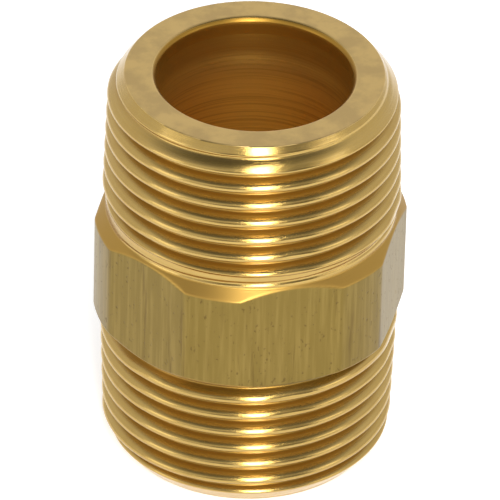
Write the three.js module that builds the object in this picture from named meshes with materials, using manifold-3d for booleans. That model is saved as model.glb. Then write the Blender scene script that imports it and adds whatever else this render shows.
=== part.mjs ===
// Hex nipple for 3/4 inch pipe: one piece machined from hexagon brass bar, with an outside taper
// thread on each end, a hexagon for the wrench in the middle and a bore right through.
// Millimetres. +Z is the bore axis and the origin is halfway along it. Two flats face +Y and -Y.
import * as THREE from 'three';
import { mergeVertices } from 'three/addons/utils/BufferGeometryUtils.js';
import Module from 'manifold-3d';

const { degToRad } = THREE.MathUtils;

// The body.
const OVERALL_LENGTH = 38.1;
const HEX_ACROSS_FLATS = 26.3;
const HEX_CORNER_DIAMETER = 27.9;
const HEX_TOP = 5;
const HEX_BOTTOM = -5.8;
const HEX_CHAMFER_ANGLE = degToRad(42);
const NECK_DIAMETER = 25.9;
const UPPER_NECK_LENGTH = 1.2;
const LOWER_NECK_LENGTH = 0.1;
const END_FACE_DIAMETER = 22.9;
const END_CHAMFER_ANGLE = degToRad(38);
const BORE_DIAMETER = 17.4;
const BORE_EDGE_BREAK = 0.35;

// The thread: 14 turns to the inch, 60 degree form, 1 in 16 taper on the diameter, right-hand.
const THREAD_PITCH = 25.4 / 14;
const THREAD_GAUGE_HEIGHT = 5;
const THREAD_GAUGE_DIAMETER = 26.66;
const THREAD_TAPER = 1 / 32;
const THREAD_DEPTH = 0.98;
const THREAD_ROOT_WIDTH = 0.12;
const THREAD_HALF_ANGLE = degToRad(30);

// The tool's path: it starts in the air above the end face and winds down to the hexagon, where
// it draws back, so that the end of the last turn is only a shallow scratch.
const LEAD_IN_HEIGHT = 1;
const THREAD_TURNS = 8.3;
const DRAW_BACK_START_TURN = 7.65;
const DRAW_BACK_END_TURN = 7.95;
const DRAW_BACK_HEIGHT = 0.6;
const UPPER_START_ANGLE = degToRad(-90);
const LOWER_START_ANGLE = degToRad(-200);

// Fineness of the facets, and how far cutters reach past what they cut.
const SEGMENTS_PER_TURN = 36;
const CUTTER_REACH = 0.4;

const HALF_LENGTH = OVERALL_LENGTH / 2;

const wasm = await Module();
wasm.setup();

// A closed three.js geometry as a solid that can be cut.
function toSolid(geometry) {
  geometry.deleteAttribute('normal');
  geometry.deleteAttribute('uv');
  const merged = mergeVertices(geometry);
  const vertProperties = new Float32Array(merged.attributes.position.array);
  const triVerts = new Uint32Array(merged.index.array);
  return new wasm.Manifold(new wasm.Mesh({ numProp: 3, vertProperties, triVerts }));
}

// The solid's surface as a three.js geometry again.
function toGeometry(solid) {
  const { vertProperties, triVerts } = solid.getMesh();
  const geometry = new THREE.BufferGeometry();
  geometry.setAttribute('position', new THREE.BufferAttribute(vertProperties, 3));
  geometry.setIndex(new THREE.BufferAttribute(triVerts, 1));
  geometry.computeVertexNormals();
  return geometry;
}

// Radius of the thread's crests, at a height above the middle of the nipple.
function crestRadius(height) {
  return THREAD_GAUGE_DIAMETER / 2 - (height - THREAD_GAUGE_HEIGHT) * THREAD_TAPER;
}

// The turned outline of one end, as radius and height above the middle, from the bore round the
// end face and down the outside, past the neck, to the shoulder of the hexagon.
function endOutline(shoulderHeight, neckLength) {
  const boreRadius = BORE_DIAMETER / 2;
  const faceRadius = END_FACE_DIAMETER / 2;
  const neckRadius = NECK_DIAMETER / 2;
  const cornerRadius = HEX_CORNER_DIAMETER / 2;
  const crestRise = crestRadius(HALF_LENGTH) - faceRadius;
  const chamferHeight = crestRise / (Math.tan(END_CHAMFER_ANGLE) - THREAD_TAPER);
  const chamferFoot = HALF_LENGTH - chamferHeight;
  const neckEnd = shoulderHeight + neckLength;
  const neckSlopeEnd = neckEnd + crestRadius(neckEnd) - neckRadius;
  const shoulderDrop = (cornerRadius - neckRadius) * Math.tan(HEX_CHAMFER_ANGLE);
  return [
    new THREE.Vector2(boreRadius, HALF_LENGTH - BORE_EDGE_BREAK),
    new THREE.Vector2(boreRadius + BORE_EDGE_BREAK, HALF_LENGTH),
    new THREE.Vector2(faceRadius, HALF_LENGTH),
    new THREE.Vector2(crestRadius(chamferFoot), chamferFoot),
    new THREE.Vector2(crestRadius(neckSlopeEnd), neckSlopeEnd),
    new THREE.Vector2(neckRadius, neckEnd),
    new THREE.Vector2(neckRadius, shoulderHeight),
    new THREE.Vector2(cornerRadius, shoulderHeight - shoulderDrop),
  ];
}

// The blank as it leaves the lathe, with the bore through the middle.
function turnedBlank() {
  const upper = endOutline(HEX_TOP, UPPER_NECK_LENGTH);
  const lower = endOutline(-HEX_BOTTOM, LOWER_NECK_LENGTH);
  lower.forEach((point) => point.setY(-point.y));
  const outline = [...lower, ...upper.reverse(), lower[0]];
  const geometry = new THREE.LatheGeometry(outline, SEGMENTS_PER_TURN);
  geometry.rotateX(Math.PI / 2);
  return toSolid(geometry);
}

// The hexagon bar, longer than the nipple.
function hexBar() {
  const cornerReach = HEX_ACROSS_FLATS / 2 / Math.cos(Math.PI / 6);
  const corners = Array.from({ length: 6 }, (_, corner) => {
    const angle = (corner * Math.PI) / 3;
    return new THREE.Vector2(cornerReach * Math.cos(angle), cornerReach * Math.sin(angle));
  });
  const outline = new THREE.Shape(corners);
  const depth = OVERALL_LENGTH + 2 * CUTTER_REACH;
  const geometry = new THREE.ExtrudeGeometry(outline, { depth, bevelEnabled: false });
  geometry.translate(0, 0, -depth / 2);
  return toSolid(geometry);
}

// How far the tool has drawn back after a number of turns.
function drawBack(turn) {
  const share = THREE.MathUtils.smoothstep(turn, DRAW_BACK_START_TURN, DRAW_BACK_END_TURN);
  return DRAW_BACK_HEIGHT * share;
}

// What the threading tool takes away on the upper end. The tool's section is extruded straight,
// with x as the reach outwards from the crests, y as height and z as the turns made, and then
// every point is wound round the taper.
function threadCut(startAngle) {
  const halfRoot = THREAD_ROOT_WIDTH / 2;
  const flankRun = (THREAD_DEPTH + CUTTER_REACH) * Math.tan(THREAD_HALF_ANGLE);
  const section = new THREE.Shape([
    new THREE.Vector2(-THREAD_DEPTH, -halfRoot),
    new THREE.Vector2(CUTTER_REACH, -halfRoot - flankRun),
    new THREE.Vector2(CUTTER_REACH, halfRoot + flankRun),
    new THREE.Vector2(-THREAD_DEPTH, halfRoot),
  ]);
  const steps = Math.round(THREAD_TURNS * SEGMENTS_PER_TURN);
  const geometry = new THREE.ExtrudeGeometry(section, {
    depth: steps / SEGMENTS_PER_TURN,
    steps,
    bevelEnabled: false,
  });
  const points = geometry.attributes.position;
  for (let i = 0; i < points.count; i += 1) {
    const turn = points.getZ(i);
    const angle = startAngle - turn * 2 * Math.PI;
    const pathHeight = HALF_LENGTH + LEAD_IN_HEIGHT - turn * THREAD_PITCH;
    const radius = crestRadius(pathHeight) + points.getX(i) + drawBack(turn);
    const height = pathHeight + points.getY(i);
    points.setXYZ(i, radius * Math.cos(angle), radius * Math.sin(angle), height);
  }
  return toSolid(geometry);
}

const upperThread = threadCut(UPPER_START_ANGLE);
const lowerThread = threadCut(LOWER_START_ANGLE).rotate([0, 180, 0]);
const body = turnedBlank().intersect(hexBar()).subtract(upperThread).subtract(lowerThread);

const brass = new THREE.MeshStandardMaterial({ color: 0xc2a66e, roughness: 0.35, metalness: 1 });
const nipple = new THREE.Mesh(toGeometry(body), brass);
nipple.name = 'nipple_body';

const group = new THREE.Group();
group.add(nipple);

export default group;
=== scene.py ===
import math

import bpy
import numpy as np
from mathutils import Matrix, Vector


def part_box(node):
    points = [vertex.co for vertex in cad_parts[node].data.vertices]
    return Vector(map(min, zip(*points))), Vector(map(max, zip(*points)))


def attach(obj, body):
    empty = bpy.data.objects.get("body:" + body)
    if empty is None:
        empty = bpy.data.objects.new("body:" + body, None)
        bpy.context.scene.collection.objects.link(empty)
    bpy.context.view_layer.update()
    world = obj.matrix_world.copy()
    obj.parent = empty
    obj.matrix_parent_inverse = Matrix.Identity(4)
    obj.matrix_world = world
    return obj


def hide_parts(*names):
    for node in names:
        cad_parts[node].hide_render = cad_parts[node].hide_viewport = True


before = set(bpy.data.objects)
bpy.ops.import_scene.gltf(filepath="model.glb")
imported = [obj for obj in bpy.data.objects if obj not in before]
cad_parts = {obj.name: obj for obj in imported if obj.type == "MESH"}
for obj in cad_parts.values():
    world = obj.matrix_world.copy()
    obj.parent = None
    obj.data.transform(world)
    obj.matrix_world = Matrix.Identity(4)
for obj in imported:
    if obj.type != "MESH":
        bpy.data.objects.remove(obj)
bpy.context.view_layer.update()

# ---- The nipple's body -------------------------------------------------------------------------
# One length of drawn hexagon brass bar, turned at both ends, drilled through and threaded. The
# hexagon in the middle keeps the drawn skin of the bar, and its corners are turned down a little.
mm = 0.001
body_low, body_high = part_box("nipple_body")
half_length = body_high.z
flat_distance = body_high.y
corner_radius = body_high.x

hex_top = 5 * mm
hex_bottom = -5.8 * mm
hex_chamfer_slope = math.tan(math.radians(42))
neck_radius = 12.95 * mm
upper_neck_length = 1.2 * mm
lower_neck_length = 0.1 * mm
face_radius = 11.45 * mm
end_chamfer_slope = math.tan(math.radians(38))
bore_radius = 8.7 * mm
bore_break = 0.35 * mm
edge_rounding = 0.1 * mm

pitch = 25.4 / 14 * mm
thread_gauge_height = 5 * mm
thread_radius = 13.33 * mm
thread_taper = 1 / 32
thread_depth = 0.98 * mm
half_root = 0.05 * mm
root_rounding = 0.05 * mm
crest_rounding = 0.42 * mm
flank_rise = 1 / math.tan(math.radians(30))

lead_in = 1 * mm
thread_turns = 8.3
draw_back_turns = (7.65, 7.95)
draw_back = 0.6 * mm
leave_turns = 0.12
leave_lift = 1.2 * mm
clear_lift = 2 * mm
upper_start = math.radians(-90)
lower_start = math.radians(-200)


def smooth_step(value, start, end):
    share = np.clip((value - start) / (end - start), 0, 1)
    return share * share * (3 - 2 * share)


def soft_min(a, b, blend):
    """The smaller of a and b, with the edge between them rounded off."""
    share = np.maximum(blend - abs(a - b), 0) / blend
    return np.minimum(a, b) - share * share * blend / 4


def crest_radius(height):
    return thread_radius - (height - thread_gauge_height) * thread_taper


def turned_radius(height):
    """Radius that the lathe left at a height: end chamfer, thread blank, neck and shoulder."""
    up = abs(height)
    shoulder_height = np.where(height > 0, hex_top, -hex_bottom)
    chamfer = face_radius + (half_length - up) * end_chamfer_slope
    neck_length = np.where(height > 0, upper_neck_length, lower_neck_length)
    neck = neck_radius + np.maximum(up - shoulder_height - neck_length, 0)
    blank = soft_min(soft_min(crest_radius(up), chamfer, edge_rounding), neck, edge_rounding)
    shoulder = neck_radius + (shoulder_height - up) / hex_chamfer_slope
    return np.where(up > shoulder_height, blank, soft_min(shoulder, corner_radius, edge_rounding))


def flat_radius(angle):
    """Distance from the axis to the nearest flat of the hexagon; two flats face +Y and -Y."""
    off_flat = angle % (math.pi / 3) - math.pi / 6
    return flat_distance / np.cos(off_flat)


def thread_floor(angle, height, start_angle):
    """Radius of the thread groove's walls above the hexagon; far outside where there is none."""
    turn_here = (start_angle - angle) / (2 * math.pi)
    path_top = half_length + lead_in
    turn = turn_here + np.round((path_top - height) / pitch - turn_here)
    middle = path_top - turn * pitch
    lift = draw_back * smooth_step(turn, *draw_back_turns)
    lift = lift + leave_lift * smooth_step(turn, thread_turns - leave_turns, thread_turns)
    lift = lift + clear_lift * (turn > thread_turns)
    side = np.maximum(abs(height - middle) - half_root, 0)
    wall = (np.sqrt(side * side + root_rounding**2) - root_rounding) * flank_rise
    return crest_radius(middle) - thread_depth + lift + wall


def outer_radius(angle, height):
    """Radius of the finished outside at an angle round the axis and a height."""
    blank = soft_min(turned_radius(height), flat_radius(angle), edge_rounding)
    upper = thread_floor(angle, height, upper_start)
    lower = thread_floor(math.pi - angle, -height, lower_start)
    return soft_min(blank, np.where(height > 0, upper, lower), crest_rounding)


# Mesh columns stand at these degrees from each corner of the hexagon. They crowd together where
# a flat meets the turned corner.
corner_steps = (0, 2.4, 4.8, 7, 8.6, 9.6, 10.2, 10.8, 11.4, 12.4, 14, 16, 18, 20.5, 23, 25.5, 28)
sector = sorted({-s for s in corner_steps} | set(corner_steps)) + [30]
angles = np.radians([60 * k + s for k in range(6) for s in sector])
column_count = len(angles)


def helix_rows(phase_height, low, high):
    """Heights of mesh rows that follow the thread, one row of heights for each column."""
    near_root = (0.06, 0.12, 0.2, 0.28, 0.37, 0.46, 0.55, 0.61, 0.65, 0.7, 0.8)
    steps = sorted({0.0, pitch / 2} | {s * mm * sign for s in near_root for sign in (-1, 1)})
    first = math.floor((low - phase_height) / pitch) - 2
    last = math.ceil((high - phase_height) / pitch) + 1
    rise = phase_height + pitch * angles / (2 * math.pi)
    rows = [rise + turn * pitch + step for turn in range(first, last + 1) for step in steps]
    return np.clip(np.array(rows), low, high), len(steps)


def join_rows(below, above, next_below, next_above):
    """Four-sided faces between two rows; next_ rows are the same rows one column further on."""
    return np.stack([below, next_below, next_above, above], axis=-1).reshape(-1, 4)


path_top = half_length + lead_in
upper_phase = path_top - pitch * upper_start / (2 * math.pi)
lower_phase = -path_top + pitch * (lower_start - math.pi) / (2 * math.pi)
upper_rows, rows_per_turn = helix_rows(upper_phase, hex_top, half_length)
lower_rows, rows_per_turn = helix_rows(lower_phase, -half_length, hex_bottom)
shoulder_rows = np.arange(0.07, 1.1, 0.07) * mm
middle_rows = np.linspace(hex_bottom + 1.6 * mm, hex_top - 1.6 * mm, 7)
hex_heights = sorted({hex_bottom, hex_top, *(hex_bottom + shoulder_rows),
                      *(hex_top - shoulder_rows), *middle_rows})
hex_rows = np.repeat(np.array(hex_heights)[:, None], column_count, axis=1)

# Every mesh point of the outside is one column and one height, so rows that meet share points.
# Its key is the column times key_step plus the height in nanometres.
key_step = 10**9
zones = ((lower_rows, rows_per_turn), (hex_rows, 0), (upper_rows, rows_per_turn))
nanometre_rows = [np.rint(rows * 1e9).astype(np.int64) for rows, _ in zones]
column_index = np.arange(column_count)
keys = [column_index * key_step + rows for rows in nanometre_rows]
point_keys, numbers = np.unique(np.concatenate([k.ravel() for k in keys]), return_inverse=True)
point_columns = (point_keys + key_step // 2) // key_step
point_heights = (point_keys - point_columns * key_step) * 1e-9
point_angles = angles[point_columns]
point_radii = outer_radius(point_angles, point_heights)
points = [np.stack([point_radii * np.cos(point_angles), point_radii * np.sin(point_angles),
                    point_heights], axis=-1)]

quads = []
taken = 0
for (rows, wrap), key_rows in zip(zones, keys):
    grid = numbers[taken:taken + key_rows.size].reshape(key_rows.shape)
    taken += key_rows.size
    past_seam = grid[np.minimum(np.arange(len(grid)) + wrap, len(grid) - 1), 0]
    beyond = np.concatenate([grid[:, 1:], past_seam[:, None]], axis=1)
    quads.append(join_rows(grid[:-1], grid[1:], beyond[:-1], beyond[1:]))
    if rows is lower_rows:
        bottom_ring = grid[0]
    if rows is upper_rows:
        top_ring = grid[-1]

# The end faces and the bore are plain rings, from the top face's rim down to the bottom one's.
# The bore has one shallow groove and one small step near each mouth.
lip_radius = bore_radius + bore_break
face_middle_radius = 10.2 * mm
groove_depth = 0.02 * mm
mouth_step = 0.03 * mm
inner_upper = [
    (face_radius - 0.07 * mm, half_length), (face_radius - 0.2 * mm, half_length),
    (face_middle_radius, half_length), (lip_radius + 0.15 * mm, half_length),
    (lip_radius + 0.03 * mm, half_length), (lip_radius - 0.03 * mm, half_length - 0.02 * mm),
    (bore_radius + 0.04 * mm, half_length - bore_break + 0.03 * mm),
    (bore_radius + 0.01 * mm, half_length - bore_break - 0.05 * mm),
]
for depths, radius in (((0.7, 1.5), bore_radius), ((1.6, 1.7), bore_radius + groove_depth),
                       ((1.8, 3, 4.2), bore_radius),
                       ((4.28, 6, 9, 12, 15), bore_radius - mouth_step)):
    inner_upper.extend((radius, half_length - depth * mm) for depth in depths)
inner = inner_upper + [(radius, -height) for radius, height in reversed(inner_upper)]
ring_numbers = [top_ring]
next_number = len(point_keys)
for radius, height in inner:
    ring = np.stack([radius * np.cos(angles), radius * np.sin(angles),
                     np.full(column_count, height)], axis=-1)
    points.append(ring)
    ring_numbers.append(next_number + column_index)
    next_number += column_count
ring_numbers.append(bottom_ring)
for outer_ring, inner_ring in zip(ring_numbers, ring_numbers[1:]):
    quads.append(join_rows(outer_ring, inner_ring, np.roll(outer_ring, -1),
                           np.roll(inner_ring, -1)))

faces = []
for face in np.concatenate(quads).tolist():
    corners = [p for k, p in enumerate(face) if p != face[k - 1]]
    if len(corners) > 2 and len(set(corners)) == len(corners):
        faces.append(corners)

mesh = bpy.data.meshes.new("nipple")
mesh.from_pydata(np.concatenate(points).tolist(), [], faces)
mesh.validate()
mesh.shade_smooth()
nipple = bpy.data.objects.new("nipple", mesh)
bpy.context.scene.collection.objects.link(nipple)

# Two numbers for the finish and the painted groove shade: how far the thread tool cut below the
# turned blank, in mm, and where the hexagon has its dull skin, which takes in the turned corners
# but not the shoulders.
inner_count = len(mesh.vertices) - len(point_keys)
hex_margin = 0.3 * mm
in_hex = (point_heights > hex_bottom - hex_margin) & (point_heights < hex_top + hex_margin)
cut = np.where(in_hex, 0, np.maximum(turned_radius(point_heights) - point_radii, 0)) / mm
shoulder_heights = np.where(point_heights > 0, hex_top, -hex_bottom)
shoulder_cone = neck_radius + (shoulder_heights - abs(point_heights)) / hex_chamfer_slope
skin = smooth_step(shoulder_cone - point_radii, 0.0, 0.1 * mm) * in_hex
for name, amounts in (("cut_depth", cut), ("drawn_skin", skin)):
    layer = mesh.attributes.new(name, "FLOAT", "POINT")
    layer.data.foreach_set("value", np.concatenate([amounts, np.zeros(inner_count)]))


class Signal:
    """A shader socket. Sums written on it in Python become Math nodes in its material."""

    tree = None

    def __init__(self, socket):
        self.socket = socket

    @classmethod
    def node(cls, kind, settings, inputs, output=0):
        """Adds a node: its settings first, then the values or links of its sockets."""
        made = cls.tree.nodes.new(kind)
        for name, value in settings.items():
            setattr(made, name, value)
        sockets = {s.identifier: s for s in made.inputs}
        for name, value in inputs.items():
            socket = made.inputs[name] if isinstance(name, int) else sockets.get(name)
            socket = socket or made.inputs[name]
            if isinstance(value, Signal):
                cls.tree.links.new(value.socket, socket)
            else:
                socket.default_value = value
        if not made.outputs:
            return None
        if isinstance(output, int):
            return Signal(made.outputs[output])
        return Signal({s.identifier: s for s in made.outputs}[output])

    def math(self, operation, other=0.0):
        return Signal.node("ShaderNodeMath", {"operation": operation}, {0: self, 1: other})

    def __add__(self, other):
        return self.math("ADD", other)

    def __sub__(self, other):
        return self.math("SUBTRACT", other)

    def __mul__(self, other):
        return self.math("MULTIPLY", other)

    def __rsub__(self, other):
        return Signal.node("ShaderNodeMath", {"operation": "SUBTRACT"}, {0: other, 1: self})

    __radd__ = __add__
    __rmul__ = __mul__

    def between(self, low, high):
        """0 up to low, 1 from high, and a soft rise between them."""
        return Signal.node("ShaderNodeMapRange", {"interpolation_type": "SMOOTHSTEP"},
                           {"Value": self, 1: low, 2: high, 3: 0.0, 4: 1.0})


def blend_colour(share, a, b):
    return Signal.node("ShaderNodeMix", {"data_type": "RGBA"},
                       {"Factor_Float": share, "A_Color": a, "B_Color": b}, "Result_Color")


def noise(x, y, z, detail=3.0):
    place = Signal.node("ShaderNodeCombineXYZ", {}, {0: x, 1: y, 2: z})
    return Signal.node("ShaderNodeTexNoise", {},
                       {"Vector": place, "Scale": 1.0, "Detail": detail, "Roughness": 0.6})


brass = bpy.data.materials.new("machined_brass")
brass.use_nodes = True
brass.node_tree.nodes.clear()
Signal.tree = brass.node_tree

place = Signal.node("ShaderNodeTexCoord", {}, {}, "Object")
x = Signal.node("ShaderNodeSeparateXYZ", {}, {0: place}, 0) * 1000.0
y = Signal.node("ShaderNodeSeparateXYZ", {}, {0: place}, 1) * 1000.0
z = Signal.node("ShaderNodeSeparateXYZ", {}, {0: place}, 2) * 1000.0
abs_z = z.math("ABSOLUTE")
radius = (x * x + y * y).math("SQRT")
turn_angle = y.math("ARCTAN2", x)
cut_depth = Signal.node("ShaderNodeAttribute", {"attribute_name": "cut_depth"}, {}, "Fac")
drawn = Signal.node("ShaderNodeAttribute", {"attribute_name": "drawn_skin"}, {}, "Fac")

# Where each finish is, from 0 to 1, with the sizes in mm.
end = half_length / mm
top = hex_top / mm
bottom = hex_bottom / mm
end_face = abs_z.between(end - 0.06, end - 0.02)
bore = 1.0 - radius.between(bore_radius / mm + 0.2, bore_radius / mm + 0.32)
lip = abs_z.between(end - 0.45, end - 0.35)
upper_shoulder = z.between(top - 1.7, top - 1.4) * (1.0 - z.between(top, top + 0.1))
lower_shoulder = z.between(bottom - 0.1, bottom) * (1.0 - z.between(bottom + 1.4, bottom + 1.7))
shoulder = upper_shoulder + lower_shoulder

# Lengthwise streaks of the drawn bar, rings left by the lathe, and stains and pits.
fine_streaks = noise(x * 16.0, y * 16.0, z * 0.45)
broad_streaks = noise(x * 2.2, y * 2.2, z * 0.12, detail=2.0)
ring_marks = noise(radius * 22.0, z * 22.0, turn_angle * 1.5)
coarse_rings = noise(radius * 5.0, z * 5.0, turn_angle * 0.6, detail=2.0)
stain = noise(x * 0.35, y * 0.35, z * 0.35, detail=4.0)
specks = noise(x * 3.0, y * 3.0, z * 2.0, detail=1.0)
pits = 1.0 - specks.between(0.26, 0.34)
streak_lines = noise(x * 1.6 + 7.0, y * 1.6, z * 0.09, detail=4.0)
dark_streaks = 1.0 - streak_lines.between(0.3, 0.43)

# The colours of turned brass, of the satin end faces, of the bar's skin and of the bore.
clean = (0.46, 0.305, 0.086, 1.0)
pale = (0.53, 0.365, 0.125, 1.0)
# Brown for stains, and painted shade on the hexagon's shoulders.
stain_and_shoulder_shade = (0.40, 0.24, 0.055, 1.0)
# Painted shade for the thread grooves and the bore's lip.
painted_groove_and_lip_shade = (0.30, 0.165, 0.026, 1.0)
satin = (0.66, 0.46, 0.175, 1.0)
dull_satin = (0.52, 0.36, 0.145, 1.0)
olive = (0.205, 0.142, 0.037, 1.0)
light_olive = (0.28, 0.198, 0.058, 1.0)
dark_olive = (0.12, 0.075, 0.022, 1.0)
bore_orange = (0.88, 0.585, 0.15, 1.0)
# Brown for some of the bore's rings, and painted shade towards its mouths.
bore_ring_tone_and_mouth_shade = (0.40, 0.21, 0.03, 1.0)

# Turned brass, made browner with the depth of the thread, as painted shade in the grooves.
turned_colour = blend_colour(coarse_rings.between(0.35, 0.7) * 0.4, clean, pale)
turned_colour = blend_colour(stain.between(0.45, 0.75) * 0.3, turned_colour, stain_and_shoulder_shade)
turned_colour = blend_colour(cut_depth.between(0.2, 0.85) * 0.85, turned_colour, painted_groove_and_lip_shade)
# Painted shade: the shoulders are made browner.
turned_colour = blend_colour(shoulder, turned_colour, stain_and_shoulder_shade)
face_colour = blend_colour(stain.between(0.38, 0.62) * 0.8, satin, dull_satin)
turned_colour = blend_colour(end_face, turned_colour, face_colour)

# The bore is made browner towards its two mouths as painted shade, and in some rings; its lip is
# darker, also painted shade.
bore_colour = blend_colour(abs_z.between(11.0, 18.5), bore_orange, bore_ring_tone_and_mouth_shade)
bore_colour = blend_colour(coarse_rings.between(0.45, 0.65) * 0.35, bore_colour, bore_ring_tone_and_mouth_shade)
bore_colour = blend_colour(lip * 0.8, bore_colour, painted_groove_and_lip_shade)
turned_colour = blend_colour(bore, turned_colour, bore_colour)

skin_colour = blend_colour(broad_streaks.between(0.4, 0.7) * 0.6, olive, light_olive)
skin_colour = blend_colour(dark_streaks * 0.55, skin_colour, dark_olive)
skin_colour = blend_colour(pits * 0.6, skin_colour, dark_olive)
colour = blend_colour(drawn, turned_colour, skin_colour)

# The crests are the smoothest, with a weak clear coat that whitens their highlights, and the
# bar's skin is dull.
turned_rough = 0.14 + 0.08 * ring_marks + 0.16 * cut_depth.between(0.1, 0.9)
turned_rough = turned_rough + end_face * (0.2 + 0.06 * stain) + bore * 0.18 + shoulder * 0.2
skin_rough = 0.3 + 0.14 * fine_streaks + 0.1 * pits
roughness = turned_rough * (1.0 - drawn) + skin_rough * drawn
metallic = 1.0 - bore * 0.05
clear_coat = 0.25 * (1.0 - drawn) * (1.0 - end_face) * (1.0 - shoulder) * (1.0 - bore)

turned_height = (ring_marks * 0.5 + coarse_rings * 0.5) * (1.0 - 0.75 * end_face)
skin_height = fine_streaks * 0.3 + broad_streaks * 0.4 - dark_streaks * 0.3 - pits * 1.2
height = turned_height * (1.0 - drawn) + skin_height * drawn
bump = Signal.node("ShaderNodeBump", {},
                   {"Strength": 0.6, "Distance": 0.02 * mm, "Height": height})
shader = Signal.node("ShaderNodeBsdfPrincipled", {},
                     {"Base Color": colour, "Metallic": metallic, "Roughness": roughness,
                      "Normal": bump, "Coat Weight": clear_coat, "Coat Roughness": 0.09})
Signal.node("ShaderNodeOutputMaterial", {}, {"Surface": shader})
mesh.materials.append(brass)

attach(nipple, "root")
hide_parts("nipple_body")

# ---- The studio --------------------------------------------------------------------------------
# A plain white table under the nipple, one tall strip lamp in front and a soft lamp on each side,
# inside a white tent, and a long lens.
table_half = 1.5
table_mesh = bpy.data.meshes.new("table")
table_gap = 0.02 * mm
table_top = -half_length - table_gap
table_corners = [(x * table_half, y * table_half, table_top)
                 for x, y in ((-1, -1), (1, -1), (1, 1), (-1, 1))]
table_mesh.from_pydata(table_corners, [], [(0, 1, 2, 3)])
table = bpy.data.objects.new("table", table_mesh)
bpy.context.scene.collection.objects.link(table)
white = bpy.data.materials.new("white_table")
white.use_nodes = True
table_shader = white.node_tree.nodes["Principled BSDF"]
table_shader.inputs["Base Color"].default_value = (0.9, 0.9, 0.9, 1)
table_shader.inputs["Roughness"].default_value = 0.9
table_shader.inputs["Emission Color"].default_value = (1, 1, 1, 1)
table_shader.inputs["Emission Strength"].default_value = 0.45
table_mesh.materials.append(white)


def soft_lamp(name, azimuth, elevation, width, height, power):
    """A rectangular lamp aimed at the nipple. Azimuth 0 is on the -Y side, 90 on the +X side."""
    distance = 0.6
    lamp = bpy.data.lights.new(name, "AREA")
    lamp.shape = "RECTANGLE"
    lamp.size = width
    lamp.size_y = height
    lamp.energy = power
    holder = bpy.data.objects.new(name, lamp)
    turn = Matrix.Rotation(math.radians(azimuth), 4, "Z")
    tilt = Matrix.Rotation(math.radians(90 - elevation), 4, "X")
    holder.matrix_world = turn @ tilt @ Matrix.Translation((0, 0, distance))
    bpy.context.scene.collection.objects.link(holder)


camera_azimuth = -16.7
soft_lamp("front_strip_lamp", camera_azimuth + 7, elevation=32, width=0.12, height=0.66, power=4)
soft_lamp("left_lamp", camera_azimuth - 66, elevation=16, width=0.25, height=0.3, power=0.3)
soft_lamp("right_lamp", camera_azimuth + 62, elevation=20, width=0.25, height=0.3, power=0.3)

# The tent is darker overhead and towards its opening, a little to the right of the camera.
world = bpy.data.worlds.new("studio")
world.use_nodes = True
Signal.tree = world.node_tree
direction = Signal.node("ShaderNodeTexCoord", {}, {}, "Generated")
upward = Signal.node("ShaderNodeSeparateXYZ", {}, {0: direction}, 2)
opening_azimuth = math.radians(camera_azimuth + 18)
opening = (math.sin(opening_azimuth), -math.cos(opening_azimuth), 0)
towards = Signal.node("ShaderNodeVectorMath", {"operation": "DOT_PRODUCT"},
                      {0: direction, 1: opening}, "Value")
overhead = upward.between(0.62, 0.92)
tent_light = 0.95 * (1.0 - 0.85 * overhead) * (1.0 - 0.7 * towards.between(0.5, 0.82))
tent = world.node_tree.nodes["Background"]
world.node_tree.links.new(tent_light.socket, tent.inputs["Strength"])
tent.inputs["Color"].default_value = (1, 1, 1, 1)
bpy.context.scene.world = world
bpy.context.scene.view_settings.view_transform = "Standard"

# A long lens from in front and above, turned a little to the left of the front flat.
camera_distance = 0.811
camera_elevation = math.radians(35.12)
camera_roll = math.radians(1.54)
camera = bpy.data.cameras.new("camera")
camera.lens = 655.6
camera.sensor_width = 36
camera.clip_end = 20
viewer = bpy.data.objects.new("camera", camera)
turn = Matrix.Rotation(math.radians(camera_azimuth), 4, "Z")
stand = Matrix.Translation((0, -camera_distance * math.cos(camera_elevation),
                            camera_distance * math.sin(camera_elevation) + 0.04 * mm))
tilt = Matrix.Rotation(math.pi / 2 - camera_elevation, 4, "X")
viewer.matrix_world = turn @ stand @ tilt @ Matrix.Rotation(camera_roll, 4, "Z")
bpy.context.scene.collection.objects.link(viewer)
bpy.context.scene.camera = viewer
